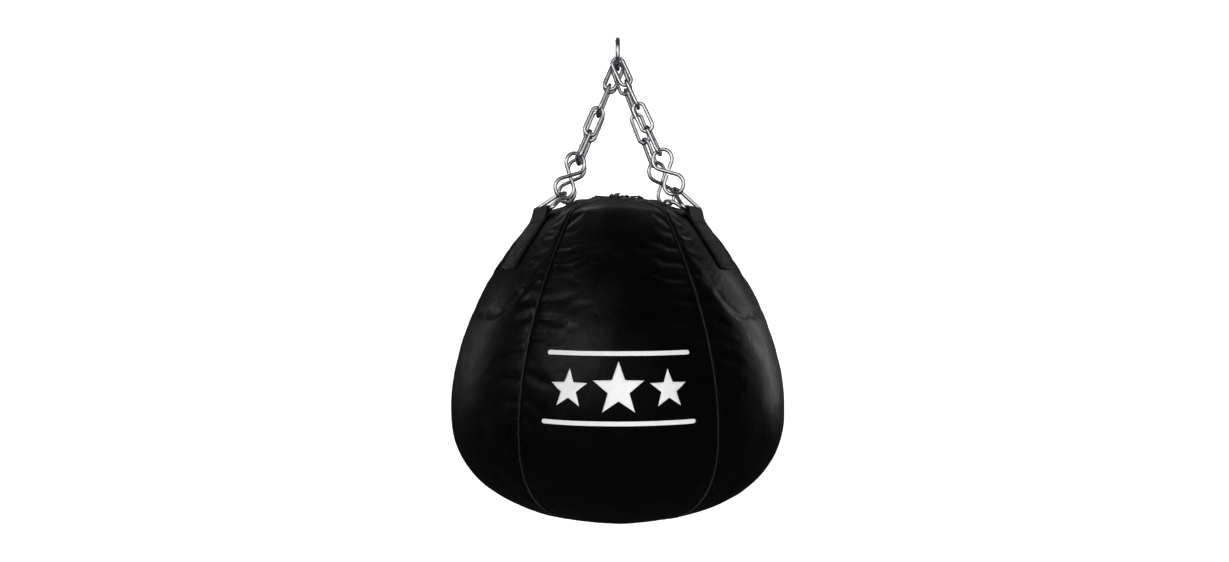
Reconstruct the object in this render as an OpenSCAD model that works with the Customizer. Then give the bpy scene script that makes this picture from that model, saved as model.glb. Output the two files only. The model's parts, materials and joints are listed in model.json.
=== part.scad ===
// Heavy punching bag: a filled leather bag hung by four short chain legs from one welded ring.
// Millimetres. Origin: centre of the hanging ring's eye. +Z is up, -Y is the front, and +X is
// the right-hand side seen from the front. The bag's axis is the Z axis.

/* [Bag body] */
// Diameter of the leather cover at its widest
bag_d = 508; // [500:1:516]
// Height of the widest level, below the ring's centre
widest_z = -550; // [-556:1:-544]
// Depth of the rounded bottom below the widest level
bottom_depth = 163; // [155:1:170]
// Fullness of the rounded bottom: 2 is an ellipse, and more is squarer
bottom_fullness = 2.4; // [2:0.1:2.8]
// Radius of the shoulder, where the steep side turns over into the top
shoulder_r = 132; // [130.5:0.5:133]
// Height of the shoulder
shoulder_z = -261; // [-263:0.5:-259]
// Slope of the side at the shoulder, from vertical
shoulder_slope = 38; // [34:1:42]
// Height of the top of the cover, at its middle
crown_z = -230; // [-231:0.5:-229]

/* [Cover and padding] */
// Thickness of the leather
leather = 2; // [1.5:0.1:2.5]
// Thickness of the canvas liner
canvas = 1.2; // [0.8:0.1:1.5]
// Thickness of the foam layer
foam = 20; // [10:1:30]
// Space left between two layers
layer_gap = 0.3; // [0.2:0.05:0.5]
// Width of the welt piping sewn into each seam
piping_w = 3; // [2:0.5:4]
// How far the piping stands out of the leather
piping_proud = 1.2; // [0.8:0.1:2]

/* [Hanging ring and chain] */
// Wire diameter of the hanging ring
ring_wire = 7; // [6.5:0.1:7.2]
// Radius of the hanging ring, to the middle of its wire
ring_r = 22.5; // [22:0.1:23]
// Wire diameter of the links, hooks and D-rings
wire = 6; // [5.6:0.1:6]
// Inner length of one chain link
link_inner = 42; // [41.8:0.1:42.4]
// Outer width of one chain link
link_w = 24; // [23.6:0.1:24.4]
// Outer length of one S-hook
hook_l = 80; // [79.6:0.1:80.2]
// Bend radius of the S-hook's two eyes, to the middle of the wire
hook_r = 15.5; // [15.3:0.1:15.8]
// Place on the ring of each nearer link, from the ring's lowest point
inner_seat = 12.5; // [12:0.5:13]
// Place on the ring of each further link, from the ring's lowest point
outer_seat = 36; // [35.5:0.5:36.5]

/* [Straps and D-rings] */
// Direction of each strap, from the front or the back
strap_azimuth = 58; // [57:0.5:59]
// Width of the webbing
strap_w = 48; // [44:1:48]
// Thickness of the folded webbing against the cover
strap_t = 4; // [3:0.5:4.5]
// Distance of each D-ring's bar from the bag's axis
bar_r = 132; // [131.75:0.25:133]
// Height of each D-ring's bar
bar_z = -253.5; // [-254:0.25:-253]
// Reach of a D-ring, from the middle of its bar to its S-hook's contact
d_reach = 40; // [39.75:0.25:40.5]
// Bend radius of a D-ring's bow, to the middle of the wire
d_bow_r = 18; // [17:0.5:19]

/* [Closure] */
// Radius of the circle of eyelets round the laced opening
eyelet_circle_r = 36; // [35:0.5:37]
// Bore of an eyelet
eyelet_bore = 5; // [4.6:0.2:5.2]
// Width of the flat lace
lace_w = 3.2; // [2.6:0.2:3.4]
// Thickness of the flat lace
lace_t = 2; // [1:0.2:2.4]

/* [Hidden] */
$fn = 64;

steel = [0.74, 0.76, 0.79];
black_leather = [0.06, 0.06, 0.065];
black_webbing = [0.14, 0.14, 0.15];

panel_count = 6;             // leather panels sewn side by side, each a node of its own
bag_r = bag_d / 2;
side_pull = 104;             // how long the side keeps upright above the widest level
shoulder_pull = 101;         // how long the side keeps the shoulder's slope below the shoulder
dome_pull = 10;              // how long the top keeps the shoulder's slope above the shoulder
dome_flat = 60;              // radius over which the top's middle is nearly flat
dome_drop = 5;               // fall of the top over that radius
side_steps = 12;             // straight steps from the widest level to the shoulder
dome_steps = 16;             // straight steps from the shoulder to the middle of the top
tip_step = 14;               // the step where the panels' tips end
tongue_step = 12;            // the step where the liner stops and the tongue begins
mouth_step = 10;             // the step where the foam layer's mouth is
bottom_step = 5;             // degrees in one straight step of the bottom
pole_angle = 5;              // where the panels end at the bottom
patch_angle = 10;            // where the bottom patch ends
piping_angle = 10.5;         // where the piping begins
panel_angle = 360 / panel_count;
first_seam = -90 - panel_angle / 2;
seam_gap = 0.2;              // gap between the piping and the panel on each side
seam_slot = piping_w + 2 * seam_gap;

slack = 0.35;                // gap between two pieces that hang on each other
inner_slack = 1.2;           // room between the ring and its nearer links
outer_slack = 3.2;           // room between the ring and its further links, which cross it at a slant
open_slack = 2.2;            // room between an S-hook and its D-ring
link_step = link_inner - slack;
hook_inner = hook_l - 2 * wire;
leg_l = 4 * link_step + hook_inner - slack / 2 - open_slack / 2;
run_thinning = 0.04;         // how much thinner a straight length of wire is than a bend
run_bite = 0.3;              // how far it reaches into the bend at each end
weld_proud = 0.8;            // how much thicker a weld is than its wire
weld_l = 3;                  // length of the weld on a link
ring_weld = 10;              // degrees of the ring that its weld covers
ring_weld_at = 80;           // where that weld is, from level
hook_gap = 1.2;              // gap between an S-hook's squeezed end and its middle
d_corner_r = 4.5;            // bend radius of a D-ring's two corners, to the middle of the wire
bar_end = 0.5;               // how far the D-ring's straight bar runs past the strap on each side
bar_play = 0.2;              // radial clearance of a D-ring's bar in its strap
strap_step = 8;              // the step of the side where the strap's end lies
fold_step = 3;               // how many steps up the strap its fold begins
strap_end_r = 60;            // radius of the strap's curved end
strap_trim = 1;              // how far up from its lower edge that end is cut
strap_sector = 60;           // degrees of the side from which the strap's sheet is cut

foam_depth = leather + canvas + 2 * layer_gap;
tongue_gap = 0.3;            // part of a step left between the liner and the tongue
eyelet_wall = 1;             // thickness of an eyelet's barrel
eyelet_barrel_r = eyelet_bore / 2 + eyelet_wall;
eyelet_play = 0.2;           // radial clearance of an eyelet in its panel
eyelet_at = 0.8;             // where the eyelets are along the curve of the top
eyelet_lift = 1.4;           // how far an eyelet's flange is above the leather's middle under it
flange_w = 2.5;              // width of an eyelet's flange round its barrel
flange_r = eyelet_barrel_r + flange_w;
flange_t = 1;
lace_sides = 3;              // eyelets that each loop of lace passes through
lace_lift = 2;               // room under the lace for the seams it crosses
through_h = 40;              // height of a cut that passes right through the top

// ---- Curves of the bag, as [radius, height] points from the bottom up ----

function bezier(p, t) = (1 - t) ^ 3 * p[0] + 3 * (1 - t) ^ 2 * t * p[1]
    + 3 * (1 - t) * t ^ 2 * p[2] + t ^ 3 * p[3];
function slope_dir() = [sin(shoulder_slope), -cos(shoulder_slope)];
function side_frame() = [[bag_r, widest_z], [bag_r, widest_z + side_pull],
    [shoulder_r, shoulder_z] + shoulder_pull * slope_dir(), [shoulder_r, shoulder_z]];
function dome_frame() = [[shoulder_r, shoulder_z], [shoulder_r, shoulder_z] - dome_pull * slope_dir(),
    [dome_flat, crown_z - dome_drop], [0, crown_z]];

eyelet_top = bezier(dome_frame(), eyelet_at)[1] + eyelet_lift;

function bottom_point(a) = [bag_r * sin(a) ^ (2 / bottom_fullness),
    widest_z - bottom_depth * cos(a) ^ (2 / bottom_fullness)];
function bottom_dir(a) = a == 0 ? [1, 0] : a == 90 ? [0, 1] : bottom_point(a + 0.1) - bottom_point(a - 0.1);
function across(v) = [v[1], -v[0]] / norm(v);
function inset(p, v, depth) = let (q = p - depth * across(v)) [max(0, q[0]), q[1]];

// The bottom's curve, from angle a0 to a1 off the axis, inset by depth.
function bottom_curve(a0, a1, depth) = [for (a = concat([a0], [for (k = [0:bottom_step:a1]) if (k > a0) k]))
    inset(bottom_point(a), bottom_dir(a), depth)];
// Points first to last of a Bezier curve cut into equal steps, inset by depth.
function bezier_curve(p, first, last, steps, depth) = [for (i = [first:last]) let (t = i / steps)
    inset(bezier(p, t), bezier(p, t + 0.001) - bezier(p, t - 0.001), depth)];
function side_curve(first, depth) = bezier_curve(side_frame(), first, side_steps, side_steps, depth);
function dome_curve(first, last, depth) = bezier_curve(dome_frame(), first, last, dome_steps, depth);
function backwards(list) = [for (i = [len(list) - 1:-1:0]) list[i]];

// The whole cover's curve, from an angle off the axis at the bottom to a step of the top. Deep in
// the bag the shoulder's bend would fold the curve back on itself, so the points in the fold go.
function bag_curve(a0, last, depth) = let (side = side_curve(1, depth), shoulder = side[side_steps - 1])
    concat(bottom_curve(a0, 90, depth), side,
        [for (p = dome_curve(1, last, depth)) if (p[1] > shoulder[1]) p]);

// A layer of the bag between two depths below the leather's face.
module layer_profile(a0, last, depth_out, depth_in)
    polygon(concat(bag_curve(a0, last, depth_out), backwards(bag_curve(a0, last, depth_in))));

// ---- Wire shapes, all in the XZ plane ----

module wire_arc(bend_r, from, sweep, d = wire)
    rotate([90, 0, 0]) rotate([0, 0, from]) rotate_extrude(angle = sweep)
        translate([bend_r, 0]) circle(d = d);

// A straight length between two bends. It is a hair thinner than the bends and reaches into them.
module wire_run(a, b)
    translate([a[0], 0, a[1]]) rotate([0, atan2(b[0] - a[0], b[1] - a[1]), 0])
        translate([0, 0, -run_bite]) cylinder(d = wire - run_thinning, h = norm(b - a) + 2 * run_bite);

// ---- The four legs ----

// Legs 0 and 1 are the front left and the front right. Legs 2 and 3 are the same two, turned
// half round the bag's axis, so they are the back right and the back left.
function mate(leg) = leg % 2;
function half_turn(leg) = leg < 2 ? 0 : 180;
function leg_azimuth(leg) = mate(leg) == 0 ? -strap_azimuth : strap_azimuth;
function outward(leg) = [sin(leg_azimuth(leg)), -cos(leg_azimuth(leg)), 0];
function seat_angle(leg) = mate(leg) == 0 ? inner_seat : outer_seat;
// How far a leg hangs above the middle of the ring's wire, and how far it reaches below it.
function seat_lift(leg) = ring_wire / 2 + (mate(leg) == 0 ? inner_slack : outer_slack) / 2;
function taut_l(leg) = leg_l - seat_lift(leg);
function ring_point(leg) = ring_r * [0, -sin(seat_angle(leg)), -cos(seat_angle(leg))];

// The D-ring leans in until the taut leg just reaches it. Its lean is measured from level.
function bar_point(leg) = bar_r * outward(leg) + [0, 0, bar_z];
function lean(leg) = let (w = bar_point(leg) - ring_point(leg), a = w * outward(leg), b = -w[2],
    k = (taut_l(leg) ^ 2 - w * w - d_reach ^ 2) / (2 * d_reach))
    atan2(b, a) - acos(-k / norm([a, b]));
function d_dir(leg) = -cos(lean(leg)) * outward(leg) + [0, 0, sin(lean(leg))];
function foot_point(leg) = bar_point(leg) + d_reach * d_dir(leg);
function leg_dir(leg) = (ring_point(leg) - foot_point(leg)) / taut_l(leg);
function leg_heading(leg) = atan2(leg_dir(leg)[1], leg_dir(leg)[0]);
function leg_tilt(leg) = acos(leg_dir(leg)[2]);
// Each link turns a little further round, from square to the ring to square to the D-ring.
function ring_twist(leg) = mate(leg) == 0 ? -leg_heading(leg) : 180 - leg_heading(leg);
function link_twist(leg, place) = ring_twist(leg) * (1 - place / 4) + 90 * (place % 2);

// Puts its children on a leg: Z up along the leg, zero where it hangs, Y square to the D-ring.
module on_leg(leg)
    rotate([0, 0, half_turn(leg)]) translate(ring_point(leg))
        rotate([0, leg_tilt(leg), leg_heading(leg)]) translate([0, 0, seat_lift(leg)]) children();

// Puts its children at a strap: X outward along the strap's direction, Y along its width.
module at_strap(leg)
    rotate([0, 0, half_turn(leg) + leg_azimuth(leg) - 90]) children();

module top_ring()
    color(steel) rotate([0, 0, 90]) {
        wire_arc(ring_r, ring_weld_at + ring_weld / 2, 360 - ring_weld, ring_wire);
        wire_arc(ring_r, ring_weld_at - ring_weld / 2, ring_weld, ring_wire + weld_proud);
    }

// One long link: place 0 hangs on the ring, and place 3 carries the S-hook.
module chain_link(leg, place) {
    bend_r = (link_w - wire) / 2;
    half = (link_inner + wire) / 2 - bend_r;
    color(steel) on_leg(leg)
        translate([0, 0, -(place + 0.5) * link_step]) rotate([0, 0, link_twist(leg, place)]) {
            translate([0, 0, half]) wire_arc(bend_r, 0, 180);
            translate([0, 0, -half]) wire_arc(bend_r, 180, 180);
            wire_run([-bend_r, -half], [-bend_r, half]);
            wire_run([bend_r, -half], [bend_r, half]);
            translate([bend_r, 0, -weld_l / 2]) cylinder(d = wire + weld_proud, h = weld_l);
        }
}

// An S-hook squeezed shut: the end of each eye runs back until it nearly meets the hook's middle.
module s_hook(leg) {
    eye = hook_l / 2 - wire / 2 - hook_r;
    cross = asin(hook_r / eye);
    touch = hook_r * [cos(cross), -sin(cross)] + [0, eye];
    stop = (wire / 2 + hook_gap) / sin(2 * cross) + wire / 2 * abs(cos(2 * cross));
    color(steel) on_leg(leg)
        translate([0, 0, -4 * link_step - hook_inner / 2 + slack / 2]) {
            wire_run(-touch, touch);
            for (turn = [0, 180]) rotate([0, turn, 0]) {
                translate([0, 0, eye]) wire_arc(hook_r, -cross, 180 + 2 * cross);
                wire_run([-touch[0], touch[1]], stop * [-touch[0], touch[1]] / norm(touch));
            }
        }
}

// A D-ring: a straight bar in the strap, two leaning sides and a round bow.
module d_ring(leg) {
    bow = [0, d_reach + open_slack / 2 + wire / 2 - d_bow_r];
    corner = [strap_w / 2 + bar_end, d_corner_r];
    to_bow = bow - corner;
    side = atan2(to_bow[1], to_bow[0]) - acos((d_corner_r - d_bow_r) / norm(to_bow));
    out = [cos(side), sin(side)];
    flip = [[-1, 0], [0, 1]];
    foot = corner + d_corner_r * out;
    neck = bow + d_bow_r * out;
    color(steel) at_strap(leg) translate([bar_r, 0, bar_z])
        rotate([0, lean(leg) - 90, 0]) rotate([0, 0, 90]) {
            wire_run([-corner[0], 0], [corner[0], 0]);
            wire_run(foot, neck);
            wire_run(flip * foot, flip * neck);
            translate([corner[0], 0, corner[1]]) wire_arc(d_corner_r, -90, side + 90);
            translate([-corner[0], 0, corner[1]]) wire_arc(d_corner_r, 180 - side, side + 90);
            translate([0, 0, bow[1]]) wire_arc(d_bow_r, side, 180 - 2 * side);
        }
}

// A webbing strap folded round the D-ring's bar and sewn down along the side of the bag.
module strap(leg) {
    loop_r = wire / 2 + bar_play + strap_t / 2;
    sheet_in = side_curve(strap_step, -layer_gap);
    sheet_out = side_curve(strap_step, -layer_gap - strap_t);
    tip_z = sheet_out[0][1] + strap_trim;
    color(black_webbing) at_strap(leg) difference() {
        union() {
            intersection() {
                rotate([0, 0, -strap_sector / 2]) rotate_extrude(angle = strap_sector)
                    polygon(concat(sheet_in, backwards(sheet_out)));
                translate([0, -strap_w / 2, widest_z]) cube([bag_r, strap_w, -widest_z]);
                translate([0, 0, tip_z + strap_end_r]) rotate([0, 90, 0])
                    cylinder(r = strap_end_r, h = bag_r);
            }
            translate([bar_r, 0, bar_z]) rotate([90, 0, 0]) cylinder(r = loop_r, h = strap_w, center = true);
            rotate([90, 0, 0]) linear_extrude(strap_w, center = true)
                polygon([[bar_r, bar_z] + loop_r * across(slope_dir()),
                    sheet_in[fold_step + 1], sheet_out[fold_step],
                    [bar_r, bar_z] - loop_r * across(slope_dir())]);
        }
        translate([bar_r, 0, bar_z]) rotate([90, 0, 0])
            cylinder(r = wire / 2 + bar_play, h = 2 * strap_w, center = true);
    }
}

// ---- The bag ----

// Puts its children at the middle of panel i's eyelet, at height zero.
function eyelet_angle(i) = first_seam + (i + 0.5) * panel_angle;
module at_eyelet(i)
    rotate([0, 0, eyelet_angle(i)]) translate([eyelet_circle_r, 0, 0]) children();

// One leather panel, with room for the piping at both seams and for its eyelet.
module panel(i)
    color(black_leather) difference() {
        rotate([0, 0, first_seam + i * panel_angle]) rotate_extrude(angle = panel_angle)
            layer_profile(pole_angle, tip_step, 0, leather);
        for (j = [i, i + 1]) rotate([0, 0, first_seam + j * panel_angle])
            translate([0, -seam_slot / 2, widest_z - bag_r]) cube([bag_d, seam_slot, 2 * bag_d]);
        at_eyelet(i) translate([0, 0, crown_z])
            cylinder(r = eyelet_barrel_r + eyelet_play, h = through_h, center = true);
    }

module seam_piping()
    color(black_leather) for (i = [0:panel_count - 1])
        rotate([0, 0, first_seam + i * panel_angle]) rotate([90, 0, 0])
            linear_extrude(piping_w, center = true)
                layer_profile(piping_angle, tip_step, -piping_proud, leather);

module bottom_patch()
    color(black_leather) rotate_extrude()
        polygon(concat(bottom_curve(0, patch_angle, -layer_gap - leather),
            backwards(bottom_curve(0, patch_angle, -layer_gap))));

module closure_tongue() {
    top = leather + layer_gap;
    first = tongue_step + tongue_gap;
    color(black_leather) rotate_extrude()
        polygon(concat(dome_curve(first, dome_steps, top + canvas),
            backwards(dome_curve(first, dome_steps, top))));
}

module closure_eyelets()
    color(steel) for (i = [0:panel_count - 1]) at_eyelet(i)
        translate([0, 0, eyelet_top]) difference() {
            union() {
                translate([0, 0, -leather - eyelet_lift / 2])
                    cylinder(r = eyelet_barrel_r, h = leather + eyelet_lift / 2 + flange_t / 2);
                cylinder(r = flange_r, h = flange_t);
            }
            cylinder(d = eyelet_bore, h = through_h, center = true);
        }

// Two loops of flat lace, each down through every other eyelet, one lying over the other.
module closure_lace()
    color(black_webbing) for (loop = [0, 1]) rotate([0, 0, eyelet_angle(loop)]) {
        low = eyelet_top - leather / 2;
        lift = eyelet_top + flange_t + lace_lift + loop * (lace_t + layer_gap);
        translate([0, 0, lift]) linear_extrude(lace_t) difference() {
            circle(r = eyelet_circle_r + lace_w, $fn = lace_sides);
            circle(r = eyelet_circle_r - lace_w, $fn = lace_sides);
        }
        for (i = [1:lace_sides]) rotate([0, 0, i * 360 / lace_sides])
            translate([eyelet_circle_r, 0, low]) cylinder(d = lace_w, h = lift + lace_t / 2 - low);
    }

module canvas_liner()
    color([0.75, 0.72, 0.62]) rotate_extrude()
        layer_profile(0, tongue_step, leather + layer_gap, leather + layer_gap + canvas);

module foam_layer()
    color([0.85, 0.82, 0.55]) rotate_extrude()
        layer_profile(0, mouth_step, foam_depth, foam_depth + foam);

module fibre_filling()
    color([0.55, 0.53, 0.5]) rotate_extrude()
        polygon(bag_curve(0, dome_steps, foam_depth + foam + 2 * layer_gap));

top_ring();
chain_link(0, 0);  // upper_link_front_left
chain_link(1, 0);  // upper_link_front_right
chain_link(2, 0);  // upper_link_back_right
chain_link(3, 0);  // upper_link_back_left
chain_link(0, 1);  // second_link_front_left
chain_link(1, 1);  // second_link_front_right
chain_link(2, 1);  // second_link_back_right
chain_link(3, 1);  // second_link_back_left
chain_link(0, 2);  // third_link_front_left
chain_link(1, 2);  // third_link_front_right
chain_link(2, 2);  // third_link_back_right
chain_link(3, 2);  // third_link_back_left
chain_link(0, 3);  // fourth_link_front_left
chain_link(1, 3);  // fourth_link_front_right
chain_link(2, 3);  // fourth_link_back_right
chain_link(3, 3);  // fourth_link_back_left
s_hook(0);  // s_hook_front_left
s_hook(1);  // s_hook_front_right
s_hook(2);  // s_hook_back_right
s_hook(3);  // s_hook_back_left
d_ring(0);  // d_ring_front_left
d_ring(1);  // d_ring_front_right
d_ring(2);  // d_ring_back_right
d_ring(3);  // d_ring_back_left
strap(0);  // strap_front_left
strap(1);  // strap_front_right
strap(2);  // strap_back_right
strap(3);  // strap_back_left
panel(0);  // panel_front
panel(1);  // panel_front_right
panel(2);  // panel_back_right
panel(3);  // panel_back
panel(4);  // panel_back_left
panel(5);  // panel_front_left
seam_piping();
bottom_patch();
closure_tongue();
closure_eyelets();
closure_lace();
canvas_liner();
foam_layer();
fibre_filling();
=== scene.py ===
import json
import math

import bmesh
import bpy
import numpy as np
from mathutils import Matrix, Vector
from mathutils import noise as mnoise
from mathutils.bvhtree import BVHTree


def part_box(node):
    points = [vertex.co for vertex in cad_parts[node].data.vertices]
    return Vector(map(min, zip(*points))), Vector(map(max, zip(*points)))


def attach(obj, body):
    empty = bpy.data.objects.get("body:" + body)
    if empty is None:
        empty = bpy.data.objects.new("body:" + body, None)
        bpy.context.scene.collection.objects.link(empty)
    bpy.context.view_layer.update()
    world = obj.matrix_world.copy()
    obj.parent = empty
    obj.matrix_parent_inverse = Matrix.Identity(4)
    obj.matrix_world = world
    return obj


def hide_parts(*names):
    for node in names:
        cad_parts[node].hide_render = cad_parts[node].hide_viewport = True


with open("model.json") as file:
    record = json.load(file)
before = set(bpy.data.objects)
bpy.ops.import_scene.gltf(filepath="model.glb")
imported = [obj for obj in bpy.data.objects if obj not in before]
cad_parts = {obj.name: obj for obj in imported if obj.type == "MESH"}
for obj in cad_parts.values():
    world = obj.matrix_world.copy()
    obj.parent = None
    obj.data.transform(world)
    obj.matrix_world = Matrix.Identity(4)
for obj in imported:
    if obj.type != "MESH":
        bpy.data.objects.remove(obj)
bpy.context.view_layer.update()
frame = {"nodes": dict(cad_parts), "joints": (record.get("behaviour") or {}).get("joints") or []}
NODES = frame["nodes"]
JOINTS = {j["name"]: j for j in frame["joints"]}
MM = 0.001

# ---------- the bag's own measures
PANELS = ("front", "front_right", "back_right", "back", "back_left", "front_left")
CORNERS = ("front_left", "front_right", "back_right", "back_left")
FRONT = -90.0                  # degrees in the XY plane
SEAM_STEP = 60.0
ROWS, COLS = 116, 30           # rows up a panel and columns across it, before refining
REFINE = 2
CAP_OUT = 7 * MM               # how far the filled leather may swell between two seams
CAP_IN = 0.9 * MM              # how far it may sink
CLOTH_FRAMES = 20
LEATHER_EDGE = 1.5 * MM        # how deep the panels' turned-in edges show
CROWN_BELOW = -0.262           # the height above which the leather is gathered
WELT_RADIUS = 1.35 * MM
SEAM_TO_STITCH = 4.6 * MM
STRAP_HALF = 24 * MM           # half the webbing's width
STRAP_PLY = 1.5 * MM           # thickness of one ply of it
STRAP_LINES = 27               # lengthwise lines in each sheet of a strap
PLY_STEPS, TURN_STEPS, EASE_STEPS = 44, 22, 8      # points up a ply, round the bar, and letting go
END_ROUND = 60 * MM            # radius of a strap's curved end
PRINT_Z = -0.492               # height of the print's middle
EYELET_SHAPE = ((2.3, -1.6), (2.2, 0.2), (2.5, 0.9), (3.3, 1.25),       # radii and heights in mm
                (4.4, 1.1), (5.2, 0.6), (5.4, 0.0), (4.6, -0.4))
THREAD_RADIUS = 0.42 * MM
CORD_RADIUS = 1.25 * MM
CORD_TWIST = 7 * MM
MIX_A, MIX_B, MIX_RESULT = 6, 7, 2     # a colour Mix node's sockets, whose names its other kinds share
D_RING_BARS = {c: JOINTS["d_ring_tilt_" + c]["pos_m"] for c in CORNERS}


def unit(vectors):
    """The vectors along the last axis, each brought to length 1."""
    return vectors / np.linalg.norm(vectors, axis=-1)[..., None]


def run_along(points):
    """The distance along a polyline at each of its points."""
    return np.r_[0, np.cumsum(np.linalg.norm(np.diff(points, axis=0), axis=1))]


def cad_profile(count):
    """Radius and height of the cover's outer face, evenly spaced from the bottom tip to the top tip,
    and the distance along the curve at each."""
    panel = NODES["panel_front"]
    tree = BVHTree.FromPolygons([v.co[:] for v in panel.data.vertices],
                                [p.vertices[:] for p in panel.data.polygons])
    turn = math.radians(FRONT + 11)
    flat = Vector((math.cos(turn), math.sin(turn), 0))
    middle = Vector((0, 0, -0.5))
    found = []
    rays = 1440
    for k in range(1, rays):
        a = -math.pi / 2 + math.pi * k / rays
        out = flat * math.cos(a) + Vector((0, 0, math.sin(a)))
        hit = tree.ray_cast(middle + out, -out)[0]
        if hit is not None and (hit - middle).length > 0.1 and hit.dot(flat) > 0:
            found.append((math.hypot(hit.x, hit.y), hit.z))
    found = np.array(found)
    found = found[np.r_[True, np.linalg.norm(np.diff(found, axis=0), axis=1) > 1e-5]]
    length = run_along(found)
    s = np.linspace(0, length[-1], count)
    return np.stack([np.interp(s, length, found[:, 0]), np.interp(s, length, found[:, 1])], 1), s


PROFILE, ARC = cad_profile(ROWS + 1)
for _ in range(3):             # rounds off the CAD curve's straight steps
    PROFILE[1:-1] = 0.25 * PROFILE[:-2] + 0.5 * PROFILE[1:-1] + 0.25 * PROFILE[2:]
WIDEST = int(np.argmax(PROFILE[:, 0]))
TANGENT = unit(np.gradient(PROFILE, axis=0))
OUTWARD = np.stack([TANGENT[:, 1], -TANGENT[:, 0]], 1)


def smooth(a, b, x):
    """0 below a and 1 above b, with a soft step between."""
    t = np.clip((np.asarray(x, float) - a) / (b - a), 0, 1)
    return t * t * (3 - 2 * t)


def bell(x, width):
    """1 at x = 0, falling away smoothly on both sides."""
    return np.exp(-(x / width) ** 2)


def round_to(angle, place, radius):
    """The way round the bag from a place to an angle, both in degrees, at a radius."""
    return np.radians((angle - place + 180) % 360 - 180) * radius


def ripple(x, seed):
    """A repeatable wandering value between about -1 and 1 along x."""
    total = np.zeros_like(np.asarray(x, float))
    for k, f in enumerate((1.0, 1.83, 2.71, 4.37)):
        total += math.cos(seed * 1.7 + k) * np.sin(f * x + seed * (k + 1) * 2.39) / (1 + 0.35 * k)
    return total / 2


def strap_cover(theta, z, r):
    """1 where a strap lies on the cover, falling to 0 a little way off."""
    out = np.zeros_like(theta)
    for bar in D_RING_BARS.values():
        side = np.abs(round_to(theta, math.degrees(math.atan2(bar[1], bar[0])), r))
        w = (1 - smooth(STRAP_HALF + 3 * MM, STRAP_HALF + 60 * MM, side)) * smooth(-0.44, -0.355, z)
        w = np.where(r < 0.095, w * smooth(0.07, 0.095, r), w)
        out = np.maximum(out, w)
    return out


# ---------- small mesh tools
def smooth_piece(name, mesh):
    """A smooth-shaded object for a mesh."""
    mesh.polygons.foreach_set("use_smooth", [True] * len(mesh.polygons))
    mesh.update()
    obj = bpy.data.objects.new(name, mesh)
    bpy.context.scene.collection.objects.link(obj)
    return obj


def new_mesh(name, verts, faces, uvs=None):
    """An object from vertices and faces; uvs holds one pair of strip coordinates for each vertex."""
    mesh = bpy.data.meshes.new(name)
    mesh.from_pydata([tuple(map(float, v)) for v in verts], [], faces)
    if uvs is not None:
        layer = mesh.uv_layers.new(name="strip")
        flat = np.asarray([uvs[i] for p in mesh.polygons for i in p.vertices], float)
        layer.data.foreach_set("uv", flat.ravel())
    return smooth_piece(name, mesh)


def face_outward(piece, weld=False):
    """Turns the faces outward, after joining the vertices that lie together if weld is true."""
    bm = bmesh.new()
    bm.from_mesh(piece.data)
    if weld:
        bmesh.ops.remove_doubles(bm, verts=bm.verts, dist=1e-6)
    bmesh.ops.recalc_face_normals(bm, faces=bm.faces)
    bm.to_mesh(piece.data)
    bm.free()


def dress(piece, mat, replaced=None):
    """Gives a piece of the bag its material and the CAD node that it stands in for."""
    piece.data.materials.append(mat)
    if replaced:
        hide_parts(replaced)
    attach(piece, "bag")


def grid_faces(rows, cols, wrap=False, start=0):
    """Quads of a grid of vertices numbered from start, row by row; wrap closes every row."""
    width = cols if wrap else cols + 1
    faces = []
    for i in range(rows):
        for j in range(cols):
            a, b = start + i * width + j, start + i * width + (j + 1) % width
            faces.append((a, b, b + width, a + width))
    return faces


def outline(rows, cols):
    """The vertex numbers all the way round a grid of rows by cols vertices."""
    ids = np.arange(rows * cols).reshape(rows, cols)
    return np.r_[ids[0], ids[1:, -1], ids[-1, -2::-1], ids[-2:0:-1, 0]].tolist()


def bridge(near, far):
    """Quads between two closed rings of vertex numbers."""
    return [(near[m], near[m - 1], far[m - 1], far[m]) for m in (*range(1, len(near)), 0)]


def tube(path, radius, sides=10, normals=None):
    """Vertices and faces of a round tube along a path; radius may change along it."""
    path = np.asarray(path, float)
    n = len(path)
    radius = np.broadcast_to(np.asarray(radius, float), (n,))
    tan = unit(np.gradient(path, axis=0))
    ref = np.array([0.0, 0.0, 1.0]) if abs(tan[0][2]) < 0.9 else np.array([1.0, 0.0, 0.0])
    side = np.cross(tan[0], ref)
    verts = []
    for k in range(n):
        if normals is not None:
            side = np.cross(tan[k], normals[k])
        side = unit(side - tan[k] * side.dot(tan[k]))
        up = np.cross(side, tan[k])
        for q in range(sides):
            a = 2 * math.pi * q / sides
            verts.append(path[k] + radius[k] * (math.cos(a) * side + math.sin(a) * up))
    faces = grid_faces(n - 1, sides, wrap=True)
    faces.append(tuple(range(sides - 1, -1, -1)))
    faces.append(tuple(range((n - 1) * sides, n * sides)))
    return verts, faces


class Heap:
    """Gathers many small shapes into one mesh."""

    def __init__(self):
        self.verts, self.faces = [], []

    def add(self, verts, faces):
        start = len(self.verts)
        self.verts.extend(verts)
        self.faces.extend(tuple(i + start for i in f) for f in faces)

    def mesh(self, name):
        return new_mesh(name, self.verts, self.faces)


def stitch(heap, a, b, normal):
    """One thread stitch from a to b: a short arched capsule that dips in at both ends."""
    a, b, normal = (np.asarray(v, float) for v in (a, b, normal))
    steps = np.linspace(0, 1, 5)
    path = [a + (b - a) * t + normal * THREAD_RADIUS * (1.5 * math.sin(math.pi * t) - 0.5) for t in steps]
    heap.add(*tube(path, THREAD_RADIUS * np.array([0.5, 1, 1.1, 1, 0.5]), sides=6))


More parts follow.
